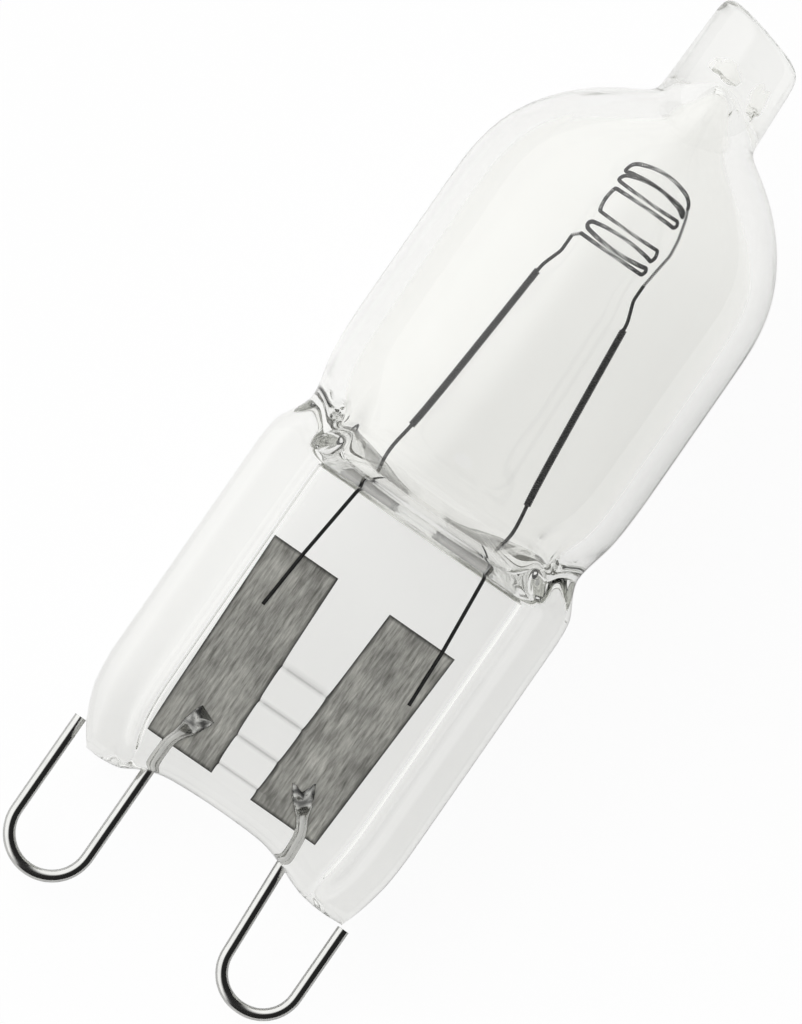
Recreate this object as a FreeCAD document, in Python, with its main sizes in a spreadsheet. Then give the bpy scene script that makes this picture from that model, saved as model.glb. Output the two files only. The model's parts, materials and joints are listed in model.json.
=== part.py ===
import FreeCAD, Part
import math
import os

import Sketcher
from FreeCAD import Placement, Rotation, Vector

# A clear quartz halogen capsule with a loop base, lying as it comes to rest. Millimetres and degrees.
#
# Every piece is built in the lamp's own frame: X across the pinch, Z along the lamp from the end of
# the glass (zero) towards the sealed tip, and Y from the upper face of the pinch (minus) to the lower.
# One Placement then lays all the pieces down together, on the belly of the bulb and the end of the pinch.

# Driving dimensions: alias, value, what it is. "inset" is measured inwards from the edge of the pinch.
SIZES = (
    # bulb
    ("bulb_diameter", 13.06, "outside of the bulb"),
    ("bulb_wall", 0.95, "wall of the bulb and its dome"),
    ("dome_height", 25.93, "centre of the dome"),
    ("shoulder_height", 19.6, "where the bulb begins to close in"),
    ("shoulder_run", 0.8, "straight start of the shoulder"),
    ("shoulder_foot", 13.55, "where the shoulder runs out into the pinch"),
    ("shoulder_sink", 0.3, "how far the shoulder's foot lies below the web's faces"),
    ("hollow_floor", 14.7, "floor of the hollow"),
    ("hollow_floor_length", 8.9, "length of the slit that the hollow narrows to"),
    ("hollow_floor_gap", 0.8, "width of that slit"),
    # sealed tip
    ("tip_diameter", 4.1, "exhaust tip where it leaves the dome"),
    ("tip_taper", 1.4, "half angle of the tip's taper"),
    ("tip_shift", 0.16, "tip off the lamp's axis"),
    ("tip_height", 36.45, "end of the tip, on the axis"),
    ("tip_slant", 14.0, "slope of the tip's end"),
    ("tip_rounding", 0.5, "rounded rim of the tip's end"),
    ("bubble_length", 2.2, "trapped bubble across the tip"),
    ("bubble_thickness", 0.7, "trapped bubble through the tip"),
    ("bubble_height", 0.9, "trapped bubble along the tip"),
    ("bubble_depth", 2.2, "trapped bubble below the tip's end"),
    # pinch
    ("pinch_width", 13.6, "across the pinch"),
    ("rib_thickness", 4.2, "through the ribs at the pinch's edges"),
    ("web_thickness", 2.6, "through the web that holds the foils"),
    ("left_rib_width", 1.7, "flat top of the left rib"),
    ("right_rib_width", 1.24, "flat top of the right rib"),
    ("rib_draft", 42.0, "slope of the ribs' inner sides"),
    ("rib_rounding", 0.4, "rounded roots of the ribs"),
    ("rim_rounding", 0.7, "rounded rim of the pinch"),
    ("waist_width", 12.1, "across the waist under the bulb"),
    ("waist_height", 15.2, "waist"),
    ("flare_height", 13.2, "where the flare reaches the pinch's full width"),
    ("flare_rounding", 1.7, "rounded top corners of the pinch"),
    ("waist_rounding", 2.2, "hollow curve of the waist"),
    ("neck_reach", 2.0, "how far the pinch runs up inside the bulb's foot, above the waist"),
    ("neck_inset", 0.15, "how much narrower than the waist that inner end is"),
    ("taper_height", 3.7, "where the pinch's edges begin to taper"),
    ("taper_rounding", 4.0, "rounded start of the taper"),
    ("left_corner_height", 1.5, "left lower corner"),
    ("left_corner_inset", 0.5, "left lower corner"),
    ("right_corner_height", 1.2, "right lower corner"),
    ("right_corner_inset", 0.2, "right lower corner"),
    ("left_lobe_inset", 1.3, "outer foot of the left lobe"),
    ("right_lobe_inset", 0.62, "outer foot of the right lobe"),
    ("left_lobe_width", 1.2, "flat foot of the left lobe"),
    ("right_lobe_width", 1.3, "flat foot of the right lobe"),
    ("left_slope_width", 1.5, "slope from the left lobe up to the middle"),
    ("right_slope_width", 2.2, "slope from the right lobe up to the middle"),
    ("end_rise", 0.9, "how much higher the middle of the glass end is than its lobes"),
    ("corner_rounding", 1.2, "rounded lower corners"),
    ("lobe_rounding", 0.75, "rounded feet of the lobes"),
    ("slope_rounding", 1.3, "rounded ends of the slopes"),
    ("press_line_length", 1.7, "pressed line between the foils"),
    ("press_line_width", 0.12, "pressed line"),
    ("press_line_depth", 0.06, "pressed line"),
    ("press_line_height", 2.05, "lowest pressed line"),
    ("press_line_pitch", 1.53, "from one pressed line to the next"),
    ("press_line_count", 4, "number of pressed lines"),
    ("press_line_shift", -0.2, "middle of the pressed lines off the axis"),
    # foils
    ("foil_width", 2.97, "sealing foil"),
    ("foil_length", 8.72, "sealing foil"),
    ("foil_thickness", 0.05, "sealing foil"),
    ("foil_height", 1.87, "lower end of the foils"),
    ("left_foil_place", 2.70, "middle of the left foil off the axis"),
    ("right_foil_place", 2.33, "middle of the right foil off the axis"),
    ("left_foil_lean", 0.24, "how much further out the left foil's upper end is"),
    ("right_foil_lean", 0.34, "how much further out the right foil's upper end is"),
    # lead loops
    ("loop_wire", 0.49, "diameter of the outer lead wire"),
    ("loop_seat", 0.04, "how far the wire is flattened where it lies on its foil"),
    ("loop_bend", 1.4, "radius of the wire's bend inside the glass"),
    ("left_inner_leg", 3.10, "left loop's inner leg off the axis"),
    ("left_outer_leg", 6.32, "left loop's outer leg off the axis"),
    ("left_loop_drop", 5.0, "left loop's lowest point below the glass end, to the wire's middle"),
    ("left_loop_end", 0.82, "left loop's free end above the glass end"),
    ("left_leg_lean", 0.0, "how much further out the left inner leg is at its bend"),
    ("right_inner_leg", 2.98, "right loop's inner leg off the axis"),
    ("right_outer_leg", 6.33, "right loop's outer leg off the axis"),
    ("right_loop_drop", 4.73, "right loop's lowest point below the glass end, to the wire's middle"),
    ("right_loop_end", -0.12, "right loop's free end above the glass end"),
    ("right_leg_lean", 0.36, "how much further out the right inner leg is at its bend"),
    ("knee_height", 1.95, "bend of the outer leads inside the glass"),
    ("left_foot_run", 1.7, "left lead from its bend to its welded end, along the lamp"),
    ("left_foot_turn", 0.66, "left lead from its bend to its welded end, towards the axis"),
    ("right_foot_run", 1.6, "right lead from its bend to its welded end, along the lamp"),
    ("right_foot_turn", 1.0, "right lead from its bend to its welded end, towards the axis"),
    ("weld_length", 1.5, "flattened, welded end of the outer lead"),
    ("weld_width", 0.92, "flattened, welded end of the outer lead"),
    ("weld_thickness", 0.3, "flattened, welded end of the outer lead"),
    # inner leads
    ("lead_wire", 0.15, "diameter of the inner lead wire"),
    ("lead_seat", 0.03, "how far the inner lead is flattened where it lies on its foil"),
    ("lead_bend", 1.5, "radius of the inner lead's bends"),
    ("lead_weld_run", 2.4, "inner lead on its foil, from its welded end to the foil's upper end"),
    ("left_weld_place", 3.12, "left lead's welded end off the axis"),
    ("left_edge_place", 2.95, "left lead off the axis where it leaves its foil"),
    ("left_foot_place", 2.34, "left leg off the axis at the foot of its winding"),
    ("left_head_place", 1.76, "left leg off the axis at the head of its winding"),
    ("left_end_place", 1.44, "left leg off the axis at the filament"),
    ("right_weld_place", 3.55, "right lead's welded end off the axis"),
    ("right_edge_place", 3.44, "right lead off the axis where it leaves its foil"),
    ("right_foot_place", 2.89, "right leg off the axis at the foot of its winding"),
    ("right_head_place", 2.08, "right leg off the axis at the head of its winding"),
    ("right_end_place", 1.75, "right leg off the axis at the filament"),
    ("winding_foot", 16.6, "foot of the leg windings"),
    ("winding_head", 24.65, "head of the leg windings"),
    ("winding_diameter", 0.32, "outside of the leg windings"),
    ("winding_margin", 0.15, "straight wire left bare at each end of a winding"),
    ("kink_rise", 0.85, "from the head of a winding to the upper bend of its leg"),
    # filament
    ("coil_wire", 0.24, "outside of the coiled filament wire"),
    ("coil_radius", 1.33, "radius of the filament's turns, to the wire's middle"),
    ("coil_pitch", 1.08, "from one turn to the next"),
    ("coil_count", 3, "whole turns of the filament, before its last half turn"),
    ("coil_shift", 0.1, "filament off the lamp's axis"),
    ("coil_height", 26.52, "start of the filament's lowest turn"),
    ("coil_drop", 0.3, "filament's ends below its lowest turn, where they sit on the legs"),
    ("coil_bend", 0.18, "radius of the bends at the filament's ends"),
)

# Shape of the shoulder between its foot (0) and its top (1), as shares of the whole change: for the
# outside and for the hollow, each with (height, width, depth).
SHOULDER_OUTSIDE = ((0.75, 0.92, 0.955), (0.5, 0.71, 0.75), (0.25, 0.34, 0.34))
SHOULDER_HOLLOW = ((0.75, 0.90, 0.94), (0.5, 0.65, 0.70), (0.25, 0.30, 0.34))

SIDES = (("left", -1), ("right", 1))

# The filament's turns are short runs joined by arcs: how many to a turn, and each arc's share of the
# turn's radius, which is less at the two ends, where the wire leaves the turn.
STEPS_PER_TURN = 12
TURN_ARC = 0.97
END_ARC = 0.33

# A corner that turns by less than this stays plain, and a rounding takes at most this share of a side.
STRAIGHT = math.radians(3)
SIDE_SHARE = 0.48

# How finely the shapes are sampled to find what they rest on.
MESH = 0.01

doc = FreeCAD.newDocument("halogen_capsule")
sheet = doc.addObject("Spreadsheet::Sheet", "Sizes")


def fill_sheet():
    for row, (alias, number, note) in enumerate(SIZES, start=1):
        sheet.set(f"A{row}", note)
        sheet.set(f"B{row}", str(number))
        sheet.setAlias(f"B{row}", alias)
    doc.recompute()


def size(formula):
    """The number that a formula of the sheet's sizes comes to."""
    return float(sheet.evalExpression(formula))


def new(kind, name, **bound):
    """A document object with its properties bound to formulas of the sheet."""
    thing = doc.addObject(kind, name)
    for prop, formula in bound.items():
        thing.setExpression(prop, formula)
    return thing


def feature(body, kind, name, **bound):
    thing = body.newObject(kind, name)
    for prop, formula in bound.items():
        thing.setExpression(prop, formula)
    return thing


def sketch_on(body, name, role, offset=None):
    plane = next(item for item in body.Origin.OriginFeatures if item.Role == role)
    sketch = body.newObject("Sketcher::SketchObject", name)
    sketch.AttachmentSupport = [(plane, "")]
    sketch.MapMode = "FlatFace"
    if offset:
        sketch.setExpression("AttachmentOffset.Base.z", offset)
    return sketch


def hold(sketch, kind, *refs, formula):
    """A dimension of a sketch, bound to a formula."""
    number = sketch.addConstraint(Sketcher.Constraint(kind, *refs, size(formula)))
    name = f"held{number}"
    sketch.renameConstraint(number, name)
    sketch.setExpression(f"Constraints.{name}", formula)


def polygon(sketch, corners, roundings=()):
    """A closed outline whose corners are pairs of formulas, rounded where they have a radius."""
    spots = [Vector(size(across), size(along), 0) for across, along in corners]
    count, first = len(spots), sketch.GeometryCount
    for here in range(count):
        sketch.addGeometry(Part.LineSegment(spots[here], spots[(here + 1) % count]))
    for here in range(count):
        after = first + (here + 1) % count
        sketch.addConstraint(Sketcher.Constraint("Coincident", first + here, 2, after, 1))
    for here, (across, along) in enumerate(corners):
        hold(sketch, "DistanceX", -1, 1, first + here, 1, formula=across)
        hold(sketch, "DistanceY", -1, 1, first + here, 1, formula=along)
    for here, rounding in enumerate(roundings):
        come, leave = spots[here] - spots[here - 1], spots[(here + 1) % count] - spots[here]
        turn = come.getAngle(leave)
        if rounding and turn > STRAIGHT:
            room = SIDE_SHARE * min(come.Length, leave.Length) / math.tan(turn / 2)
            formula = rounding if size(rounding) < room else str(room)
            arc = sketch.GeometryCount
            sketch.fillet(first + here, 1, size(formula), True, True)
            hold(sketch, "Radius", arc, formula=formula)


def circle(sketch, across, along, radius):
    sketch.addGeometry(Part.Circle(Vector(size(across), size(along), 0), Vector(0, 0, 1), size(radius)))
    hold(sketch, "Radius", 0, formula=radius)
    hold(sketch, "DistanceX", -1, 1, 0, 3, formula=across)
    hold(sketch, "DistanceY", -1, 1, 0, 3, formula=along)


def fillet(body, base, name, names, radius):
    rounded = feature(body, "PartDesign::Fillet", name, Radius=radius)
    rounded.Base = (base, names)
    doc.recompute()
    return rounded


def dome(name, radius, foot):
    """A bulb: a round wall from its foot up to the dome's centre, closed by a half sphere."""
    body = doc.addObject("PartDesign::Body", name)
    sketch = sketch_on(body, f"{name}_profile", "XZ_Plane")
    wide, low, high = size(radius), size(foot), size("Sizes.dome_height")
    corners = (Vector(0, low, 0), Vector(wide, low, 0), Vector(wide, high, 0), Vector(0, high + wide, 0))
    quarter = Part.Circle(Vector(0, high, 0), Vector(0, 0, 1), wide)
    sketch.addGeometry(Part.LineSegment(corners[0], corners[1]))
    sketch.addGeometry(Part.LineSegment(corners[1], corners[2]))
    sketch.addGeometry(Part.ArcOfCircle(quarter, 0, math.pi / 2))
    sketch.addGeometry(Part.LineSegment(corners[3], corners[0]))
    for here in range(4):
        sketch.addConstraint(Sketcher.Constraint("Coincident", here, 2, (here + 1) % 4, 1))
    sketch.addConstraint(Sketcher.Constraint("Horizontal", 0))
    sketch.addConstraint(Sketcher.Constraint("Vertical", 1))
    sketch.addConstraint(Sketcher.Constraint("PointOnObject", 0, 1, -2))
    sketch.addConstraint(Sketcher.Constraint("PointOnObject", 2, 2, -2))
    sketch.addConstraint(Sketcher.Constraint("PointOnObject", 2, 3, -2))
    hold(sketch, "Radius", 2, formula=radius)
    hold(sketch, "DistanceY", -1, 1, 2, 3, formula="Sizes.dome_height")
    hold(sketch, "DistanceY", -1, 1, 0, 1, formula=foot)
    sketch.addConstraint(Sketcher.Constraint("PointOnObject", 1, 2, 2))
    sketch.addConstraint(Sketcher.Constraint("Tangent", 1, 2))
    turned = feature(body, "PartDesign::Revolution", f"{name}_turned")
    turned.Profile = sketch
    turned.ReferenceAxis = (sketch, ["V_Axis"])
    turned.Angle = 360
    doc.recompute()
    return body


def shoulder(name, top_size, foot_height, foot_width, foot_depth, shape):
    """The change from the round bulb to a long narrow foot, lofted through ovals."""
    sections = []

    def oval(height, width, depth):
        sections.append(new("Part::Ellipse", f"{name}_oval_{len(sections)}",
                            MajorRadius=f"({width}) / 2", MinorRadius=f"({depth}) / 2"))
        sections[-1].setExpression("Placement.Base.z", height)

    oval("Sizes.shoulder_height + Sizes.shoulder_run", top_size, top_size)
    oval("Sizes.shoulder_height", top_size, top_size)
    for rise, wide, deep in shape:
        oval(f"{foot_height} + (Sizes.shoulder_height - ({foot_height})) * {rise}",
             f"{foot_width} + ({top_size} - ({foot_width})) * {wide}",
             f"{foot_depth} + ({top_size} - ({foot_depth})) * {deep}")
    oval(foot_height, foot_width, foot_depth)
    loft = doc.addObject("Part::Loft", name)
    loft.Sections = sections
    loft.Solid = True
    return loft


def pinch_corners():
    """The outline of the pinch seen from its upper face, from the middle of its end round by the right."""
    half = "Sizes.pinch_width / 2"

    def side(name, sign):
        lobe_out = f"{half} - Sizes.{name}_lobe_inset"
        lobe_in = f"{lobe_out} - Sizes.{name}_lobe_width"
        slope_in = f"{lobe_in} - Sizes.{name}_slope_width"
        rows = (
            (slope_in, "Sizes.end_rise"),
            (lobe_in, "0"),
            (lobe_out, "0"),
            (f"{half} - Sizes.{name}_corner_inset", f"Sizes.{name}_corner_height"),
            (half, "Sizes.taper_height"),
            (half, "Sizes.flare_height"),
            ("Sizes.waist_width / 2", "Sizes.waist_height"),
            ("Sizes.waist_width / 2 - Sizes.neck_inset", "Sizes.waist_height + Sizes.neck_reach"),
        )
        return [(f"{sign} * ({across})", along) for across, along in rows]

    return side("right", 1), side("left", -1)


def pinch():
    """The pressed seal: a plate with the outline above, thinned to a web between its two ribs."""
    body = doc.addObject("PartDesign::Body", "Pinch")
    right, left = pinch_corners()
    kinds = ("slope", "slope", "lobe", "corner", "taper", "flare", "waist", None)
    roundings = [f"Sizes.{kind}_rounding" if kind else None for kind in kinds]
    outline = sketch_on(body, "pinch_outline", "XZ_Plane")
    polygon(outline, right + left[::-1], roundings + roundings[::-1])
    plate = feature(body, "PartDesign::Pad", "pinch_plate", Length="Sizes.rib_thickness")
    plate.Profile = outline
    plate.Midplane = True
    doc.recompute()

    top = size("Sizes.rib_thickness") / 2
    rims = [f"Edge{number}" for number, edge in enumerate(plate.Shape.Edges, start=1)
            if all(abs(abs(vertex.Point.y) - top) < 1e-5 for vertex in edge.Vertexes)]
    rounded = fillet(body, plate, "pinch_rim", rims, "Sizes.rim_rounding")

    section = sketch_on(body, "web_section", "XY_Plane")
    slope = "tan(Sizes.rib_draft * 1 deg)"
    sunk = "(Sizes.rib_thickness - Sizes.web_thickness) / 2"
    root = "Sizes.rib_rounding"
    for face in (-1, 1):
        corners = []
        for rise, height in ((f"-{sunk}", "Sizes.web_thickness / 2"),
                             ("Sizes.rim_rounding", "Sizes.rib_thickness / 2 + Sizes.rim_rounding")):
            for side, sign in SIDES:
                rib = f"Sizes.pinch_width / 2 - Sizes.{side}_rib_width"
                corners.append((f"{sign} * ({rib} + {rise} * {slope})", f"{face} * ({height})"))
        polygon(section, corners[:2] + corners[:1:-1], (root, root, None, None))
    before = rounded.Shape.Volume
    webs = feature(body, "PartDesign::Pocket", "webs",
                   Length="2 * (Sizes.waist_height + 2 * Sizes.neck_reach)")
    webs.Profile = section
    webs.Midplane = True
    doc.recompute()
    if webs.Shape.Volume > before - 1:
        raise RuntimeError("the webs were not cut")

    line = sketch_on(body, "press_line_outline", "XZ_Plane", "Sizes.web_thickness / 2")
    half = "Sizes.press_line_length / 2"
    low, high = "Sizes.press_line_height", "Sizes.press_line_height + Sizes.press_line_width"
    polygon(line, (
        (f"Sizes.press_line_shift - {half}", low),
        (f"Sizes.press_line_shift + {half}", low),
        (f"Sizes.press_line_shift + {half}", high),
        (f"Sizes.press_line_shift - {half}", high),
    ))
    before = webs.Shape.Volume
    cut = feature(body, "PartDesign::Pocket", "press_line", Length="Sizes.press_line_depth")
    cut.Profile = line
    doc.recompute()
    if cut.Shape.Volume > before - 1e-4:
        raise RuntimeError("the pressed line was not cut")
    row = feature(body, "PartDesign::LinearPattern", "press_lines", Occurrences="Sizes.press_line_count",
                  Length="Sizes.press_line_pitch * (Sizes.press_line_count - 1)")
    row.Originals = [cut]
    row.Direction = (line, ["V_Axis"])
    body.Tip = row
    doc.recompute()
    return body


def tip():
    """The sealed stub of the exhaust tube, cut off aslant and fire-polished."""
    body = doc.addObject("PartDesign::Body", "Tip")
    root = "Sizes.dome_height + Sizes.bulb_diameter / 2 - 2 * Sizes.bulb_wall"
    sketch = sketch_on(body, "tip_outline", "XY_Plane", root)
    circle(sketch, "Sizes.tip_shift", "0", "Sizes.tip_diameter / 2")
    stub = feature(body, "PartDesign::Pad", "tip_stub", TaperAngle="-Sizes.tip_taper",
                   Length=f"Sizes.tip_height + Sizes.tip_diameter - ({root})")
    stub.Profile = sketch
    doc.recompute()
    above = sketch_on(body, "tip_cut_outline", "XZ_Plane")
    reach = "Sizes.tip_diameter * 2"
    fall = f"{reach} * tan(Sizes.tip_slant * 1 deg)"
    polygon(above, (
        (f"-({reach})", f"Sizes.tip_height + {fall}"),
        (reach, f"Sizes.tip_height - {fall}"),
        (reach, f"Sizes.tip_height + {reach}"),
        (f"-({reach})", f"Sizes.tip_height + {reach}"),
    ))
    before = stub.Shape.Volume
    cut = feature(body, "PartDesign::Pocket", "tip_cut", Length=reach)
    cut.Profile = above
    cut.Midplane = True
    doc.recompute()
    if cut.Shape.Volume > before - 1:
        raise RuntimeError("the tip was not cut")
    end = size("Sizes.tip_height") - size(fall)
    rim = [f"Edge{number}" for number, edge in enumerate(cut.Shape.Edges, start=1)
           if edge.CenterOfGravity.z > end and len(edge.Vertexes) == 1]
    fillet(body, cut, "tip_rim", rim, "Sizes.tip_rounding")
    return body


def bubble():
    """What is left of the exhaust tube's bore, closed up inside the tip."""
    hole = new("Part::Ellipsoid", "Bubble", Radius1="Sizes.bubble_height / 2",
               Radius2="Sizes.bubble_length / 2", Radius3="Sizes.bubble_thickness / 2")
    hole.Angle1 = -90
    hole.setExpression("Placement.Base.x", "Sizes.tip_shift")
    hole.setExpression("Placement.Base.z", "Sizes.tip_height - Sizes.bubble_depth")
    return hole


def foil(side, sign):
    body = doc.addObject("PartDesign::Body", f"{side}_foil_body")
    sketch = sketch_on(body, f"{side}_foil_outline", "XZ_Plane")
    top = "Sizes.foil_height + Sizes.foil_length"
    corners = []
    for lean, height in ((-1, "Sizes.foil_height"), (1, top)):
        middle = f"Sizes.{side}_foil_place + {lean} * Sizes.{side}_foil_lean / 2"
        for edge in (-lean, lean):
            corners.append((f"{sign} * ({middle}) - {edge} * Sizes.foil_width / 2", height))
    polygon(sketch, corners)
    pad = feature(body, "PartDesign::Pad", f"{side}_foil_pad", Length="Sizes.foil_thickness")
    pad.Profile = sketch
    pad.Midplane = True
    doc.recompute()
    return body


def rounded_path(name, corners, radii):
    """A wire of straight runs joined by tangent arcs, one arc at each inner corner. Gives the runs too."""
    edges, runs = [], []
    start = corners[0]
    for before, corner, after, radius in zip(corners, corners[1:], corners[2:], radii):
        come, leave = (corner - before).normalize(), (after - corner).normalize()
        turn = come.getAngle(leave)
        back = radius * math.tan(turn / 2)
        first, last = corner - come * back, corner + leave * back
        inward = (leave - come).normalize()
        middle = corner + inward * (radius / math.cos(turn / 2) - radius)
        runs.append((start, first))
        if start.distanceToPoint(first) > 1e-6:
            edges.append(Part.LineSegment(start, first).toShape())
        edges.append(Part.Arc(first, middle, last).toShape())
        start = last
    runs.append((start, corners[-1]))
    edges.append(Part.LineSegment(start, corners[-1]).toShape())
    path = doc.addObject("Part::Feature", name)
    path.Shape = Part.Wire(edges)
    return path, runs


def wire_along(name, path, diameter):
    """A round wire along a path."""
    section = new("Part::Circle", f"{name}_section", Radius=f"{diameter} / 2")
    edge = path.Shape.OrderedEdges[0]
    start = edge.tangentAt(edge.FirstParameter)
    section.Placement = Placement(edge.valueAt(edge.FirstParameter), Rotation(Vector(0, 0, 1), start))
    wire = doc.addObject("Part::Sweep", name)
    wire.Sections = [section]
    wire.Spine = (path, [f"Edge{number + 1}" for number in range(len(path.Shape.Edges))])
    wire.Solid = True
    doc.recompute()
    whole = math.pi * (size(diameter) / 2) ** 2 * path.Shape.Length
    if abs(wire.Shape.Volume / whole - 1) > 0.01:
        raise RuntimeError(f"{name} does not fill its path")
    return wire


def together(name, things):
    joined = doc.addObject("Part::MultiFuse", name)
    joined.Shapes = things
    return joined


def cut_from(name, base, tool):
    rest = doc.addObject("Part::Cut", name)
    rest.Base = base
    rest.Tool = tool
    return rest


def lead_loop(side, sign, own_foil):
    """An outer lead: welded flat on its foil, out through the glass end and round in a loop."""
    plane = -size("(Sizes.foil_thickness + Sizes.loop_wire) / 2 - Sizes.loop_seat")
    inner = size(f"Sizes.{side}_inner_leg")
    bend = inner + size(f"Sizes.{side}_leg_lean")
    outer = size(f"Sizes.{side}_outer_leg")
    drop = size(f"Sizes.{side}_loop_drop")
    knee = size("Sizes.knee_height")
    run, turn = size(f"Sizes.{side}_foot_run"), size(f"Sizes.{side}_foot_turn")
    corners = [Vector(sign * across, plane, along) for across, along in (
        (inner - turn, knee + run), (inner, knee), (bend, -drop), (outer, -drop),
        (outer, size(f"Sizes.{side}_loop_end")))]
    lean = math.atan2(bend - inner, knee + drop)
    round_end = (outer - bend) / (1 + math.tan(math.pi / 4 - lean / 2)) - 1e-3
    path, _ = rounded_path(f"{side}_loop_path", corners, (size("Sizes.loop_bend"), round_end, round_end))
    wire = wire_along(f"{side}_loop_wire", path, "Sizes.loop_wire")

    weld = new("Part::Ellipsoid", f"{side}_weld", Radius1="Sizes.weld_length / 2",
               Radius2="Sizes.weld_width / 2", Radius3="Sizes.weld_thickness")
    weld.Angle1 = -90
    slope = Rotation(Vector(0, 0, 1), corners[0] - corners[1])
    weld.Placement = Placement(Vector(corners[0].x, 0, corners[0].z), slope)
    behind = new("Part::Box", f"{side}_weld_back", Length="Sizes.weld_length * 4",
                 Width="Sizes.weld_length * 4", Height="Sizes.weld_length * 4")
    reach = size("Sizes.weld_length") * 2
    behind.Placement = Placement(Vector(corners[0].x - reach, 0, corners[0].z - reach), Rotation())
    half = cut_from(f"{side}_weld_half", weld, behind)
    return cut_from(f"{side}_loop", together(f"{side}_loop_blank", [wire, half]), own_foil)


def lead_plane():
    """Where the inner leads lie: on the upper faces of the foils, sunk by their seat."""
    return -size("(Sizes.foil_thickness + Sizes.lead_wire) / 2 - Sizes.lead_seat")


def inner_lead(side, sign, own_foil):
    """A thin lead from its foil up to the filament, and the tight winding on its long straight run."""
    plane = lead_plane()
    top = size("Sizes.foil_height + Sizes.foil_length")
    head = size("Sizes.winding_head")
    end = size("Sizes.coil_height - Sizes.coil_drop")
    places = (
        ("weld", top - size("Sizes.lead_weld_run")), ("edge", top), ("foot", size("Sizes.winding_foot")),
        ("head", head), ("end", head + size("Sizes.kink_rise")), ("end", end))
    corners = [Vector(sign * size(f"Sizes.{side}_{name}_place"), plane, along) for name, along in places]
    path, runs = rounded_path(f"{side}_lead_path", corners, [size("Sizes.lead_bend")] * 4)
    wire = wire_along(f"{side}_lead_wire", path, "Sizes.lead_wire")

    first, last = runs[2]
    margin = (last - first).normalize() * size("Sizes.winding_margin")
    run = last - first - margin * 2
    lie = Placement(first + margin, Rotation(Vector(0, 0, 1), run))
    sleeve = new("Part::Cylinder", f"{side}_winding_outside", Radius="Sizes.winding_diameter / 2")
    bore = new("Part::Cylinder", f"{side}_winding_bore", Radius="Sizes.lead_wire / 2")
    for tube in (sleeve, bore):
        tube.Height = run.Length
        tube.Placement = lie
    return cut_from(f"{side}_lead", wire, own_foil), cut_from(f"{side}_winding", sleeve, bore)


def filament():
    """The coil round the lamp's axis, one end down to the left leg and one past the turns to the right."""
    plane = lead_plane()
    shift, radius = size("Sizes.coil_shift"), size("Sizes.coil_radius")
    low = size("Sizes.coil_height")
    drop, bend = size("Sizes.coil_drop"), size("Sizes.coil_bend")
    steps = round((size("Sizes.coil_count") + 0.5) * STEPS_PER_TURN)
    step = 2 * math.pi / STEPS_PER_TURN
    ring = []
    for number in range(steps):
        angle = math.pi + step * (number + 0.5)
        reach = radius / math.cos(step / 2)
        rise = size("Sizes.coil_pitch") * (number + 0.5) / STEPS_PER_TURN
        ring.append(Vector(shift + reach * math.cos(angle), reach * math.sin(angle), low + rise))
    high = low + size("Sizes.coil_pitch") * steps / STEPS_PER_TURN
    left, right = -size("Sizes.left_end_place"), size("Sizes.right_end_place")
    corners = [Vector(left, plane, low - drop), Vector(left, plane, low), *ring,
               Vector(right, plane, high), Vector(right, plane, low - drop)]
    ends, turns = [radius * END_ARC], [radius * TURN_ARC] * (steps - 2)
    path, _ = rounded_path("coil_path", corners, [bend, *ends, *turns, *ends, bend])
    return wire_along("coil", path, "Sizes.coil_wire")


def envelope(metals):
    """The glass: bulb, shoulder, pinch and tip in one, hollowed, and closed round the sealed-in metal."""
    outside, inside = "Sizes.bulb_diameter", "Sizes.bulb_diameter - 2 * Sizes.bulb_wall"
    foot = "Sizes.shoulder_height + Sizes.shoulder_run"
    solid = together("glass", [
        dome("Bulb", f"({outside}) / 2", foot),
        shoulder("Shoulder", outside, "Sizes.shoulder_foot", "Sizes.waist_width - Sizes.bulb_wall",
                 "Sizes.web_thickness - 2 * Sizes.shoulder_sink", SHOULDER_OUTSIDE),
        pinch(),
        tip(),
    ])
    hollow = together("hollow", [
        dome("Hollow", f"({inside}) / 2", foot),
        shoulder("HollowShoulder", f"({inside})", "Sizes.hollow_floor", "Sizes.hollow_floor_length",
                 "Sizes.hollow_floor_gap", SHOULDER_HOLLOW),
    ])
    blown = cut_from("blown_glass", solid, hollow)
    closed = cut_from("tipped_glass", blown, bubble())
    return cut_from("sealed_glass", closed, together("sealed_metal", metals))


def resting_placement(shape, glass):
    """Lays the lamp down as it rests: the line under its centre of mass that touches it from below."""
    spots = sorted((spot.z, spot.y) for spot in shape.tessellate(MESH)[0])
    under = []
    for spot in spots:
        while len(under) > 1 and ((under[-1][0] - under[-2][0]) * (spot[1] - under[-2][1])
                                  >= (under[-1][1] - under[-2][1]) * (spot[0] - under[-2][0])):
            under.pop()
        under.append(spot)
    middle = glass.CenterOfGravity.z
    near, far = next(pair for pair in zip(under, under[1:]) if pair[0][0] <= middle <= pair[1][0])
    tilt = math.degrees(math.atan2(far[1] - near[1], far[0] - near[0]))
    turn = Rotation(Vector(1, 0, 0), tilt - 90)
    laid = [turn.multVec(spot) for spot in shape.tessellate(MESH)[0]]
    across, along, up = ([spot[axis] for spot in laid] for axis in range(3))
    shift = Vector(-(min(across) + max(across)) / 2, -(min(along) + max(along)) / 2, -min(up))
    print(f"tilt {tilt:.3f} rests at {near[0]:.2f} and {far[0]:.2f}, centre of mass at {middle:.2f}")
    print("size", [round(max(row) - min(row), 3) for row in (across, along, up)], "shift", tuple(shift))
    return Placement(shift, turn)


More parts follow.
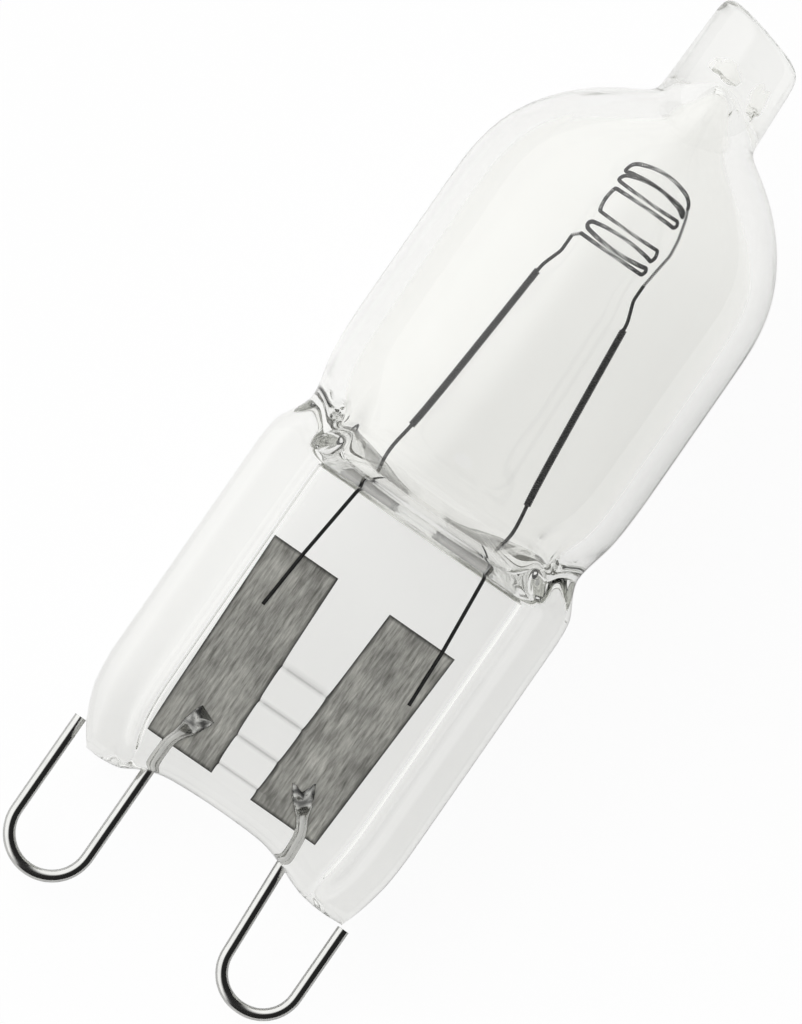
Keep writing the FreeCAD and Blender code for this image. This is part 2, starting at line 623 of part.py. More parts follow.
def build():
    fill_sheet()
    built = {}
    for side, sign in SIDES:
        built[f"{side}_foil"] = foil(side, sign)
        built[f"{side}_lead_loop"] = lead_loop(side, sign, built[f"{side}_foil"])
        lead, winding = inner_lead(side, sign, built[f"{side}_foil"])
        built[f"{side}_inner_lead"] = lead
        built[f"{side}_leg_winding"] = winding
    metals = [built[f"{side}_{name}"] for side, _ in SIDES for name in ("foil", "lead_loop", "inner_lead")]
    built["filament"] = filament()
    built["quartz_envelope"] = envelope(metals)
    doc.recompute()

    whole = Part.Compound([thing.Shape for thing in built.values()])
    rest = resting_placement(whole, built["quartz_envelope"].Shape)
    nodes = []
    for name, thing in built.items():
        node = doc.addObject("Part::Compound", name)
        node.Label = name
        node.Links = [thing]
        node.Placement = rest
        nodes.append(node)
    doc.recompute()
    return nodes


def write(nodes):
    bad = [thing.Name for thing in doc.Objects if {"Invalid", "Error"} & set(thing.State)]
    if bad:
        raise RuntimeError(f"failed objects: {bad}")
    for node in nodes:
        shape = node.Shape
        if shape.isNull() or not shape.isValid() or len(shape.Solids) != 1:
            raise RuntimeError(f"{node.Label} is not one valid solid")
    os.makedirs("parts", exist_ok=True)
    for node in nodes:
        node.Shape.Solids[0].exportStep(f"parts/{node.Label}.step")
        print(f"{node.Label}: {node.Shape.Volume:.4f} mm3")


write(build())
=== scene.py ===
import json
import math

import bmesh
import bpy
from mathutils import Matrix, Vector, noise

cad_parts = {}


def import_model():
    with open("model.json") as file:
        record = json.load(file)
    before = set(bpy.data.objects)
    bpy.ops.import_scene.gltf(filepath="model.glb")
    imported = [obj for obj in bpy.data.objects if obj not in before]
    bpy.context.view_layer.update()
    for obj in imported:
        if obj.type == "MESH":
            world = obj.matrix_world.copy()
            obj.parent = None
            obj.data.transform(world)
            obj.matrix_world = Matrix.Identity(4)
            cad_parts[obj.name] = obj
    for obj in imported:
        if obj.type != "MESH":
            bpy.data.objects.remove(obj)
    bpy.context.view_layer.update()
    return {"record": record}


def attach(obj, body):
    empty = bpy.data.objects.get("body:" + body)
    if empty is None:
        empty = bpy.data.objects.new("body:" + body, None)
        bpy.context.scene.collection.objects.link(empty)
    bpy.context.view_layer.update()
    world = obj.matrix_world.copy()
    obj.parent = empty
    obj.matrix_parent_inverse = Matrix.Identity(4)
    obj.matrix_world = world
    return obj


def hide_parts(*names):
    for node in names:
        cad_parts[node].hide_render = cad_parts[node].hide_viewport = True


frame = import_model()

# A clear quartz halogen capsule with a loop base, lying on a pale floor.
#
# Every piece is made in the lamp's own frame, in millimetres: X across the pinch, Y from the upper face
# of the pinch (minus) to the lower, Z along the lamp from the end of the glass to the sealed tip.
# The matrix LAMP then lays it down where the frame has it.

MM = 0.001
WIRE_PLANE = -0.23

# Bulb and hollow
BULB_RADIUS = 6.53
HOLLOW_RADIUS = 5.58
DOME_HEIGHT = 25.93
SHOULDER_TOP = 19.6
HOLLOW_FLOOR = 14.86

# Sealed tip
TIP_SHIFT = 0.16
TIP_HEIGHT = 36.6
TIP_SLANT = math.tan(math.radians(14))

# Pinch
PINCH_HALF = 6.8
RIB_HALF = 2.1
WEB_HALF = 1.3
RIB_WIDTHS = {"left": 1.7, "right": 1.24}
RIB_DRAFT = math.tan(math.radians(42))
RIM = 0.7
ROOT = 0.12
PRESS_LINES = (2.11, 3.64, 5.17, 6.70)
PRESS_LINE_REACH = (-1.05, 0.65)
PRESS_LINE_DEPTH = 0.1
PRESS_LINE_HALF = 0.07
WEB_SHARES = (0, 0.12, 0.3, 0.5, 0.7, 0.78, 0.87, 1)

# Foils
FOIL_WIDTH = 2.97
FOIL_LENGTH = 8.72
FOIL_FOOT = 1.87
FOIL_THICKNESS = 0.05
FOIL_WAVE = 0.02
FOIL_WAVE_FINENESS = (1.6, 0.5)
FOIL_GRID = (48, 140)
FOIL_PLACES = {"left": (2.70, 0.24), "right": (2.33, 0.34)}

# Lead loops: inner leg, lean, outer leg, drop, free end, and the welded foot's run and turn
LOOP_WIRE = 0.245
LOOP_BEND = 1.4
KNEE = 1.95
LOOPS = {
    "left": dict(inner=3.10, lean=0.0, outer=6.32, drop=5.0, end=0.82, run=1.7, turn=0.66),
    "right": dict(inner=2.98, lean=0.36, outer=6.33, drop=4.73, end=-0.12, run=1.6, turn=1.0),
}
WELD_LENGTH = 1.5
WELD_FLATNESS = 0.45
WELD_SPREAD = 0.7
WELD_FORK = 0.35
WELD_FORK_POWER = 6
WELD_GROOVE = 0.3
# Middle, contrast and fineness of the burnt patches
WELD_BURN = (0.55, 1.6, 4.5)
# How far the flattened end is pressed along its length, and the size and fineness of its crumples
WELD_PRESS = ((-WELD_LENGTH, 0.0), (-0.45 * WELD_LENGTH, 0.8), (0.0, 1.0))
WELD_CRUMPLES = ((0.09, 3.5), (0.05, 9))

# Inner leads, their windings and the filament
LEAD_PLANE = -0.07
LEAD_WIRE = 0.075
LEAD_BEND = 1.5
LEAD_WELD = 8.19
FOIL_TOP = FOIL_FOOT + FOIL_LENGTH
WINDING_FOOT = 16.6
WINDING_HEAD = 24.65
WINDING_MARGIN = 0.3
WINDING_COIL = {"Wire Radius": 0.042, "Coil Radius": 0.115, "Pitch": 0.088, "Step": 0.0075}
KINK = 25.5
LEADS = {
    "left": dict(weld=3.12, edge=2.95, foot=2.34, head=1.76, end=1.44),
    "right": dict(weld=3.55, edge=3.44, foot=2.89, head=2.08, end=1.75),
}
COIL_RADIUS = 1.33
COIL_SHIFT = 0.15
COIL_HEIGHT = 26.52
COIL_STEPS = 36
# Height of each half turn, front and back in turn, and how far it sinks towards its ends
COIL_PASSES = ((26.44, -0.05), (26.68, -0.15), (27.14, 0.2), (27.52, 0.0), (28.55, 0.0), (28.92, 0.03),
               (29.4, 0.45), (29.62, 0.4), (29.95, 0.5))
COIL_TURN = 0.13
COIL_DROP = 0.3
COIL_BEND = 0.18
# The filament's last run down to its right leg: how far off that leg, and how high
COIL_TAIL = ((-0.1, 29.1), (0.12, 28.3), (0.2, 27.6), (0.08, 26.8))
FILAMENT_COIL = {"Wire Radius": 0.0155, "Coil Radius": 0.062, "Pitch": 0.068, "Step": 0.0056}

# Fineness of the wires' meshes
WIRE_SIDES = 18
WIRE_STEP = 0.08
BEND_STEPS = 14
COIL_SIDES = 7

SIDES = (("left", -1), ("right", 1))


def lamp_frame():
    """The lamp's own frame, read from the mount at its loops."""
    mount = next(row for row in frame["record"]["mounts"] if row["name"] == "loop_base")
    along = -Vector(mount["axis"]).normalized()
    across = Vector((1, 0, 0))
    down = along.cross(across)
    start = Vector(mount["pos_m"]) - down * WIRE_PLANE * MM
    turn = Matrix((across, down, along)).transposed().to_4x4()
    return Matrix.Translation(start) @ turn @ Matrix.Scale(MM, 4)


LAMP = lamp_frame()


# Shapes

def mix(first, last, share):
    return first + (last - first) * share


def curve_through(stops, place):
    """A smooth curve through (place, value) stops that never overshoots, level beyond its ends."""
    if place <= stops[0][0]:
        return stops[0][1]
    if place >= stops[-1][0]:
        return stops[-1][1]
    rises = [(b[1] - a[1]) / (b[0] - a[0]) for a, b in zip(stops, stops[1:])]
    slopes = [0.0]
    for before, after in zip(rises, rises[1:]):
        slopes.append(2 * before * after / (before + after) if before * after > 0 else 0.0)
    slopes.append(0.0)
    here = next(i for i in range(len(rises)) if place <= stops[i + 1][0])
    run = stops[here + 1][0] - stops[here][0]
    t = (place - stops[here][0]) / run
    return ((2 * t**3 - 3 * t**2 + 1) * stops[here][1] + (t**3 - 2 * t**2 + t) * run * slopes[here]
            + (3 * t**2 - 2 * t**3) * stops[here + 1][1] + (t**3 - t**2) * run * slopes[here + 1])


def skin(bm, rings):
    """A tube of quads through rings of equally many points. Gives the rings' vertices."""
    rows = [[bm.verts.new(spot) for spot in ring] for ring in rings]
    for lower, upper in zip(rows, rows[1:]):
        for here in range(len(lower)):
            after = (here + 1) % len(lower)
            bm.faces.new((lower[here], lower[after], upper[after], upper[here]))
    return rows


def fan_cap(bm, row, spot):
    pole = bm.verts.new(spot)
    for here in range(len(row)):
        bm.faces.new((row[here], row[(here + 1) % len(row)], pole))


def strip_cap(bm, row, bulge):
    """Closes a long flat ring, which turns back at its two narrow ends, with one row along its middle."""
    half = len(row) // 2
    front, back = row[:half + 1], [row[0]] + row[:half - 1:-1]
    middle = [row[0]]
    for near, far in zip(front[1:-1], back[1:-1]):
        middle.append(bm.verts.new((near.co + far.co) / 2 + Vector((0, 0, bulge))))
    middle.append(row[half])
    for side in (front, back):
        for here in range(half):
            corners = (side[here], side[here + 1], middle[here + 1], middle[here])
            bm.faces.new(dict.fromkeys(corners))


def closed(bm, inward=False):
    """Faces all pointing out of the glass or metal: inward for a hollow."""
    bmesh.ops.recalc_face_normals(bm, faces=bm.faces)
    if inward:
        bmesh.ops.reverse_faces(bm, faces=bm.faces)
    return bm


def mesh_of(name, *parts):
    mesh = bpy.data.meshes.new(name)
    whole = bmesh.new()
    for part in parts:
        part.to_mesh(mesh)
        part.free()
        whole.from_mesh(mesh)
    whole.to_mesh(mesh)
    whole.free()
    return mesh


def linked(name, mesh):
    thing = bpy.data.objects.new(name, mesh)
    bpy.context.scene.collection.objects.link(thing)
    return thing


def settled(thing):
    """Turns an object's modifiers into its mesh."""
    bpy.context.view_layer.update()
    made = bpy.data.meshes.new_from_object(thing.evaluated_get(bpy.context.evaluated_depsgraph_get()))
    thing.modifiers.clear()
    thing.data = made
    return thing


def smoothed(thing, levels):
    step = thing.modifiers.new("smooth", "SUBSURF")
    step.levels = levels
    step.render_levels = levels
    return settled(thing)


def piece(thing, node, material):
    """Lays a finished piece down in the frame, in place of its node."""
    thing.data.transform(LAMP)
    thing.data.update()
    thing.data.materials.clear()
    thing.data.materials.append(material)
    thing.data.shade_smooth()
    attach(thing, "root")
    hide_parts(node)
    return thing


# Node trees that follow a path

def new_tree(name, inputs):
    """A geometry tree with a path going in, a mesh coming out, and named sizes. Gives its two end nodes."""
    tree = bpy.data.node_groups.new(name, "GeometryNodeTree")
    tree.interface.new_socket("Path", in_out="INPUT", socket_type="NodeSocketGeometry")
    for label in inputs:
        tree.interface.new_socket(label, in_out="INPUT", socket_type="NodeSocketFloat")
    tree.interface.new_socket("Material", in_out="INPUT", socket_type="NodeSocketMaterial")
    tree.interface.new_socket("Mesh", in_out="OUTPUT", socket_type="NodeSocketGeometry")
    return tree, tree.nodes.new("NodeGroupInput"), tree.nodes.new("NodeGroupOutput")


def node(tree, kind, inputs=(), **settings):
    """A node of a tree, with settings and (socket, number or other socket) inputs."""
    made = tree.nodes.new(kind)
    for name, setting in settings.items():
        setattr(made, name, setting)
    for socket, source in inputs:
        if isinstance(source, bpy.types.NodeSocket):
            tree.links.new(source, made.inputs[socket])
        else:
            made.inputs[socket].default_value = source
    return made


def sums(tree, operation, *sources):
    """A Math node of a tree. Gives its result."""
    return node(tree, "ShaderNodeMath", tuple(enumerate(sources)), operation=operation).outputs[0]


def round_section(tree, curve, radius, sides, start, end):
    """The last nodes of each tree: a round wire along a curve, its material, and the way out."""
    circle = node(tree, "GeometryNodeCurvePrimitiveCircle", (("Resolution", sides), ("Radius", radius)))
    tube = node(tree, "GeometryNodeCurveToMesh", (
        ("Curve", curve), ("Profile Curve", circle.outputs["Curve"]), ("Fill Caps", True)))
    plain = node(tree, "GeometryNodeRealizeInstances", (("Geometry", tube.outputs["Mesh"]),))
    painted = node(tree, "GeometryNodeSetMaterial", (
        ("Geometry", plain.outputs["Geometry"]), ("Material", start.outputs["Material"])))
    tree.links.new(painted.outputs["Geometry"], end.inputs["Mesh"])


def bent_wire_tree():
    """A round wire along a path of straight runs, bent at each corner to that corner's own radius."""
    tree, start, end = new_tree("bent_wire", ("Wire Radius",))
    path = node(tree, "GeometryNodeMeshToCurve", (("Mesh", start.outputs["Path"]),))
    bend = node(tree, "GeometryNodeInputNamedAttribute", (("Name", "bend"),), data_type="FLOAT")
    bent = node(tree, "GeometryNodeFilletCurve", (
        ("Curve", path.outputs["Curve"]), ("Radius", bend.outputs["Attribute"]), ("Limit Radius", True),
        ("Count", BEND_STEPS)), mode="POLY")
    even = node(tree, "GeometryNodeResampleCurve", (
        ("Curve", bent.outputs["Curve"]), ("Length", WIRE_STEP)), mode="LENGTH")
    round_section(tree, even.outputs["Curve"], start.outputs["Wire Radius"], WIRE_SIDES, start, end)
    return tree


def coiled_wire_tree():
    """A fine wire wound round a path: it circles the path once in every pitch."""
    tree, start, end = new_tree("coiled_wire", ("Wire Radius", "Coil Radius", "Pitch", "Step"))
    path = node(tree, "GeometryNodeMeshToCurve", (("Mesh", start.outputs["Path"]),))
    even = node(tree, "GeometryNodeResampleCurve", (
        ("Curve", path.outputs["Curve"]), ("Length", start.outputs["Step"])), mode="LENGTH")
    along = node(tree, "GeometryNodeSplineParameter")
    turns = sums(tree, "DIVIDE", along.outputs["Length"], start.outputs["Pitch"])
    angle = sums(tree, "MULTIPLY", turns, math.tau)
    normal = node(tree, "GeometryNodeInputNormal")
    tangent = node(tree, "GeometryNodeInputTangent")
    side = node(tree, "ShaderNodeVectorMath", (
        (0, tangent.outputs["Tangent"]), (1, normal.outputs["Normal"])), operation="CROSS_PRODUCT")
    arms = []
    for wave, arm in (("COSINE", normal.outputs["Normal"]), ("SINE", side.outputs["Vector"])):
        reach = sums(tree, "MULTIPLY", sums(tree, wave, angle), start.outputs["Coil Radius"])
        arms.append(node(tree, "ShaderNodeVectorMath", ((0, arm), ("Scale", reach)), operation="SCALE"))
    offset = node(tree, "ShaderNodeVectorMath", (
        (0, arms[0].outputs["Vector"]), (1, arms[1].outputs["Vector"])), operation="ADD")
    wound = node(tree, "GeometryNodeSetPosition", (
        ("Geometry", even.outputs["Curve"]), ("Offset", offset.outputs["Vector"])))
    round_section(tree, wound.outputs["Geometry"], start.outputs["Wire Radius"], COIL_SIDES, start, end)
    return tree


def path_mesh(name, spots, bends=None):
    """A chain of edges through the spots, each with its own bend radius."""
    mesh = bpy.data.meshes.new(name)
    mesh.from_pydata([tuple(spot) for spot in spots], [(i, i + 1) for i in range(len(spots) - 1)], [])
    if bends:
        mesh.attributes.new("bend", "FLOAT", "POINT").data.foreach_set("value", bends)
    return mesh


def grown(name, path, tree, material, sizes):
    """The mesh that a tree makes along a path."""
    thing = linked(name, path)
    step = thing.modifiers.new("shape", "NODES")
    step.node_group = tree
    for item in tree.interface.items_tree:
        if item.in_out == "INPUT" and item.name in sizes:
            step[item.identifier] = sizes[item.name]
        if item.in_out == "INPUT" and item.name == "Material":
            step[item.identifier] = material
    return settled(thing)


# Materials

def new_material(name, **sockets):
    """A principled material with constant sockets. Gives the material, its tree and its shader."""
    material = bpy.data.materials.new(name)
    material.use_nodes = True
    tree = material.node_tree
    shader = tree.nodes["Principled BSDF"]
    for socket, setting in sockets.items():
        shader.inputs[socket.replace("_", " ")].default_value = setting
    return material, tree, shader


def ramp(tree, source, low, high, ends=(0.0, 1.0)):
    """The colours from low to high, between two places of a source."""
    made = node(tree, "ShaderNodeValToRGB", ((0, source),))
    for stop, place, colour in zip(made.color_ramp.elements, ends, (low, high)):
        stop.position = place
        stop.color = (*colour, 1)
    return made.outputs["Color"]


def spread(tree, source, start, end, low, high):
    """A source's run from start to end, spread from low to high."""
    return node(tree, "ShaderNodeMapRange", (
        (0, source), (1, start), (2, end), (3, low), (4, high))).outputs[0]


def mixed(tree, share, first, second, blend="MIX"):
    """Two colours, mixed by a share."""
    return node(tree, "ShaderNodeMix", (
        (0, share), (6, first), (7, second)), data_type="RGBA", blend_type=blend).outputs[2]


def roughened(tree, shader, height, strength, distance):
    """Bumps on a shader's surface."""
    bump = node(tree, "ShaderNodeBump", (
        ("Strength", strength), ("Distance", distance), ("Height", height)))
    tree.links.new(bump.outputs["Normal"], shader.inputs["Normal"])


def quartz():
    """Clear glass, faintly warm and rippled, with painted shade along its pressed lines."""
    material, tree, shader = new_material(
        "clear_quartz", Roughness=0.0, IOR=1.46, Transmission_Weight=1.0)
    where = node(tree, "ShaderNodeTexCoord")
    drift = node(tree, "ShaderNodeTexNoise", (
        ("Vector", where.outputs["Object"]), ("Scale", 260.0), ("Detail", 2.0)))
    tones = ramp(tree, drift.outputs[0], (0.97, 0.97, 0.953), (1.0, 1.0, 0.984))
    # Painted shade: the glass's colour turns dark grey along its pressed lines.
    line = node(tree, "ShaderNodeAttribute", attribute_name="pressed")
    pressed_line_shade = mixed(tree, line.outputs["Fac"], tones, (0.3, 0.3, 0.295, 1))
    tree.links.new(pressed_line_shade, shader.inputs["Base Color"])
    roughened(tree, shader, drift.outputs[0], 0.1, 0.00002)
    tint = node(tree, "ShaderNodeVolumeAbsorption", (
        ("Color", (0.945, 0.946, 0.94, 1)), ("Density", 190.0)))
    tree.links.new(tint.outputs["Volume"], tree.nodes["Material Output"].inputs["Volume"])
    return material


def foil_finish():
    """Rolled foil, streaked along its length, patchy, with painted shade along its edges."""
    material, tree, shader = new_material("rolled_foil", Metallic=0.85, Roughness=0.42)
    where = node(tree, "ShaderNodeTexCoord")
    stretch = node(tree, "ShaderNodeMapping", ((0, where.outputs["UV"]), ("Scale", (9.0, 1.0, 1.0))))
    streaks = node(tree, "ShaderNodeTexNoise", (
        ("Vector", stretch.outputs[0]), ("Scale", 1.0), ("Detail", 6.0), ("Roughness", 0.65)))
    tones = ramp(tree, streaks.outputs[0], (0.2, 0.197, 0.182), (0.64, 0.635, 0.6), (0.3, 0.7))
    # Painted shade: the foil's colour darkens towards its edges, down to a quarter at the rim.
    edge = node(tree, "ShaderNodeAttribute", attribute_name="edge")
    burn_and_edge_shade = spread(tree, edge.outputs["Fac"], 0.03, 0.16, 0.25, 1.0)
    drift = node(tree, "ShaderNodeTexNoise", (
        ("Vector", where.outputs["UV"]), ("Scale", 0.7), ("Detail", 3.0)))
    patches = spread(tree, drift.outputs[0], 0.3, 0.7, 0.65, 1.15)
    patchy_edge_shaded = mixed(tree, 1.0, tones, sums(tree, "MULTIPLY", burn_and_edge_shade, patches), "MULTIPLY")
    tree.links.new(patchy_edge_shaded, shader.inputs["Base Color"])
    roughened(tree, shader, streaks.outputs[0], 0.35, 0.00003)
    return material


def wire_finish(name, dark, light, roughness):
    """Drawn wire, finely marked, and burnt dark where it is welded."""
    material, tree, shader = new_material(name, Metallic=1.0, Roughness=roughness)
    where = node(tree, "ShaderNodeTexCoord")
    marks = node(tree, "ShaderNodeTexNoise", (
        ("Vector", where.outputs["Object"]), ("Scale", 2200.0), ("Detail", 4.0)))
    tones = ramp(tree, marks.outputs[0], dark, light)
    burn_and_edge_shade = node(tree, "ShaderNodeAttribute", attribute_name="burn_and_edge_shade")
    shown = mixed(tree, burn_and_edge_shade.outputs["Fac"], tones, (0.03, 0.03, 0.03, 1))
    tree.links.new(shown, shader.inputs["Base Color"])
    roughened(tree, shader, marks.outputs[0], 0.12, 0.00002)
    return material


# Glass

def rib_stations(rib_width):
    """Half of the pinch's section from the middle of its edge to the middle of its web.

    Each station has its inset from the edge, its half thickness, and its angle once the glass is round."""
    slope = (RIB_HALF - WEB_HALF) * RIB_DRAFT
    flat = RIB_HALF - RIM
    rows = [(0, 0), (0, flat / 2), (0, flat)]
    for degrees in (30, 60, 90):
        turn = math.radians(degrees)
        rows.append((RIM * (1 - math.cos(turn)), flat + RIM * math.sin(turn)))
    angles = [math.acos(1 - RIM / PINCH_HALF) * here / 5 for here in range(6)]
    foot = rib_width + slope + ROOT
    rows += [(rib_width - ROOT, RIB_HALF), (rib_width + ROOT, RIB_HALF - ROOT),
             (rib_width + slope / 2, (RIB_HALF + WEB_HALF) / 2), (foot - 2 * ROOT, WEB_HALF + ROOT)]
    rows += [(mix(foot, PINCH_HALF, share), WEB_HALF) for share in WEB_SHARES]
    angles += [math.acos(1 - inset / PINCH_HALF) for inset, _ in rows[6:]]
    return [(inset, thick, angle) for (inset, thick), angle in zip(rows, angles)]


STATIONS = {side: rib_stations(RIB_WIDTHS[side]) for side, _ in SIDES}

# The pinch's end: how far its lobes draw in, how they fade out upwards, and the height of its edge
LOBE_INSETS = {"left": 1.3, "right": 0.62}
TAPER_HEIGHT = 3.7
TAPER_POWER = 2.3
END_HALF = 1.5
END_REACH = 1.4
END_POWER = 1.5
END_BULGE = -0.1
END_HEIGHTS = ((-5.6, 0.05), (-4.9, 0.0), (-4.2, 0.08), (-3.4, 0.5), (-2.6, 0.83), (0, 0.95),
               (2.0, 0.9), (3.0, 0.6), (4.2, 0.12), (5.4, 0.0), (6.2, 0.05))

# The shoulder: its half width, and how round its web and its ribs are, by height
SIDE_LINE = ((13.2, 6.8), (14.2, 6.7), (15.0, 6.3), (15.6, 6.05), (16.3, 6.14), (17.2, 6.38), (18.5, 6.5),
             (SHOULDER_TOP, BULB_RADIUS))
ROUNDNESS = ((13.82, 0.0), (13.92, 0.08), (14.03, 0.26), (14.15, 0.38), (14.5, 0.57), (15.1, 0.745),
             (16.0, 0.88), (17.2, 0.956), (18.5, 0.99), (SHOULDER_TOP, 1.0))
RIB_ROUNDNESS = ((14.2, 0.0), (14.9, 0.08), (15.5, 0.3), (16.1, 0.6), (16.8, 0.83), (18.0, 0.97),
                 (SHOULDER_TOP, 1.0))
RIB_BLEND = ((-0.2, 0), (0.9, 1))
SWELL_POWER = 0.6
# Share of the thickness that the rounded end keeps, by height
RIM_SHARES = ((0.0, 0.66), (0.1, 0.83), (0.25, 0.94), (0.5, 0.99), (0.9, 1.0))
# Share of the depth that the underside keeps, so that the shoulder clears the floor
UNDERSIDE = ((14.8, 1.0), (16.2, 0.982), (17.2, 0.966), (18.2, 0.98), (SHOULDER_TOP, 1.0))


def pinch_ring(level):
    """A ring of the pinch or the shoulder. Its lower levels follow the end's two lobes."""
    rib_round, web_round = curve_through(RIB_ROUNDNESS, level), curve_through(ROUNDNESS, level)
    thickness = curve_through(RIM_SHARES, level)
    levelled = max(0.0, 1 - level / END_REACH) ** END_POWER
    fade = max(0.0, 1 - level / TAPER_HEIGHT)
    side_rows = {}
    for side, sign in SIDES:
        half = curve_through(SIDE_LINE, level) - LOBE_INSETS[side] * fade**TAPER_POWER
        blend = [(RIB_WIDTHS[side] + reach, share) for reach, share in RIB_BLEND]
        row = []
        for inset, thick, angle in STATIONS[side]:
            inside = curve_through(blend, inset)
            roundness = mix(rib_round, web_round, inside)
            swell = math.sin(angle) ** mix(1, mix(SWELL_POWER, 1, web_round), inside)
            across = sign * half * mix(1 - inset / PINCH_HALF, math.cos(angle), roundness)
            deep = mix(mix(thick, END_HALF, levelled) * thickness, BULB_RADIUS * swell, roundness)
            row.append((across, deep, level + curve_through(END_HEIGHTS, across) * fade**END_POWER))
        side_rows[side] = row
    half_ring = side_rows["right"] + side_rows["left"][-2::-1]
    front = [Vector((x, -y + PRESS_LINE_DEPTH * pressed(x, level), z)) for x, y, z in half_ring]
    clear = curve_through(UNDERSIDE, level)
    back = [Vector((x, y * clear, z)) for x, y, z in half_ring[-2:0:-1]]
    return front + back


def pressed(across, height):
    """1 on the fine lines pressed into the web between the foils, 0 elsewhere."""
    low, high = PRESS_LINE_REACH
    on_line = any(abs(height - line) < PRESS_LINE_HALF / 2 for line in PRESS_LINES)
    return 1.0 if on_line and low < across < high else 0.0


def round_ring(angles, height, radius, shift=0.0, deep=None, slant=0.0):
    """A round ring at the given angles, or an oval one where its half depth is given."""
    return [Vector((shift + radius * math.cos(angle), -(deep or radius) * math.sin(angle),
                    height - slant * radius * math.cos(angle))) for angle in angles]


def ring_angles():
    right = [angle for _, _, angle in STATIONS["right"]]
    left = [math.pi - angle for _, _, angle in STATIONS["left"][-2::-1]]
    half = right + left
    return half + [math.tau - angle for angle in half[-2:0:-1]]


# Heights of the rings of the pinch and shoulder, and of the bulb's straight wall
PINCH_LEVELS = (0.0, 0.1, 0.25, 0.5, 0.9, 1.4, 2.8, 4.4, 5.9, 8.2, 10.2, 11.8, 12.8, 13.4, 13.75, 13.86,
                13.97, 14.1, 14.25, 14.5, 14.8, 15.15, 15.6, 16.1, 16.7, 17.3, 18.0, 18.8, SHOULDER_TOP)
WALL_HEIGHTS = (20.8, 22.5, 24.3, DOME_HEIGHT)
# Height, radius, shift and half depth of the rings that close the dome in and run on into the tip
DOME_RINGS = ((26.7, 6.5, 0, 6.5), (27.46, 6.39, 0, 6.39), (28.2, 6.2, 0, 6.2), (28.87, 5.93, 0, 5.93),
              (29.6, 5.52, 0.01, 5.52), (30.28, 5.02, 0.02, 5.02), (30.95, 4.38, 0.05, 4.46),
              (31.5, 3.72, 0.09, 3.97), (31.95, 3.05, 0.13, 3.53), (32.22, 2.58, 0.16, 3.27),
              (32.42, 2.3, 0.16, 3.08), (32.6, 2.17, 0.16, 2.92), (32.9, 2.14, 0.16, 2.68),
              (33.4, 2.12, 0.16, 2.38), (34.2, 2.09, 0.16, 2.14))
# Height from the tip's end, radius, and share of the end's slant, of the rings that round the tip off
TIP_RINGS = ((-1.0, 2.04, 0.9), (-0.6, 2.01, 1), (-0.36, 1.94, 1), (-0.18, 1.79, 1), (-0.06, 1.53, 1),
             (0, 1.1, 1), (0.02, 0.55, 1))
TIP_CROWN = 0.03


def outer_skin():
    """The outside of the glass, from the pinch's end up to the tip."""
    lines = [line + PRESS_LINE_HALF * side for line in PRESS_LINES for side in (-1, 0, 1)]
    levels = sorted([*PINCH_LEVELS, *lines])
    rings = [pinch_ring(level) for level in levels]
    angles = ring_angles()
    rings += [round_ring(angles, height, BULB_RADIUS) for height in WALL_HEIGHTS]
    rings += [round_ring(angles, *row) for row in DOME_RINGS]
    rings += [round_ring(angles, TIP_HEIGHT + rise, radius, TIP_SHIFT, radius, slant * TIP_SLANT)
              for rise, radius, slant in TIP_RINGS]
    bm = bmesh.new()
    # Marks the pressed lines, where the glass gets painted shade.
    shade_line_mask = bm.verts.layers.float.new("pressed")
    rows = skin(bm, rings)
    half = len(angles) // 2
    for level, row in zip(levels, rows):
        for vert in row[:half + 1]:
            vert[shade_line_mask] = pressed(vert.co.x, level)
    strip_cap(bm, rows[0], END_BULGE)
    fan_cap(bm, rows[-1], (TIP_SHIFT, 0, TIP_HEIGHT + TIP_CROWN))
    return closed(bm)


# How far the hollow has risen, widened and deepened, from the slit at its floor to the full bulb
HOLLOW_SHARES = ((0.0, 0.0, 0.0), (0.006, 0.05, 0.23), (0.02, 0.13, 0.42), (0.052, 0.27, 0.56),
                 (0.104, 0.44, 0.666), (0.208, 0.66, 0.805), (0.354, 0.84, 0.907), (0.54, 0.95, 0.961),
                 (0.77, 0.99, 0.99), (1.0, 1.0, 1.0))
HOLLOW_SLIT = (4.45, 0.4)
HOLLOW_SQUARE = 0.7
HOLLOW_BOW = 0.1
HOLLOW_BOW_POWER = 4
HOLLOW_COUNT = 36
HOLLOW_HEIGHTS = (21.0, 23.0, 24.7, DOME_HEIGHT)
# Height, radius, shift and half depth of the rings that close the hollow, up into the tube's old bore
HOLLOW_TOP = ((27.3, 5.47, 0, 5.47), (28.4, 5.12, 0, 5.12), (29.3, 4.55, 0, 4.57), (30.1, 3.8, 0.02, 3.88),
              (30.7, 3.05, 0.05, 3.26), (31.12, 2.4, 0.09, 2.8), (31.42, 1.9, 0.13, 2.47),
              (31.8, 1.42, 0.16, 2.1), (32.3, 1.08, 0.16, 1.68), (32.9, 0.85, 0.16, 1.22),
              (33.4, 0.6, 0.16, 0.8), (33.75, 0.34, 0.16, 0.42))
HOLLOW_CROWN = 0.1


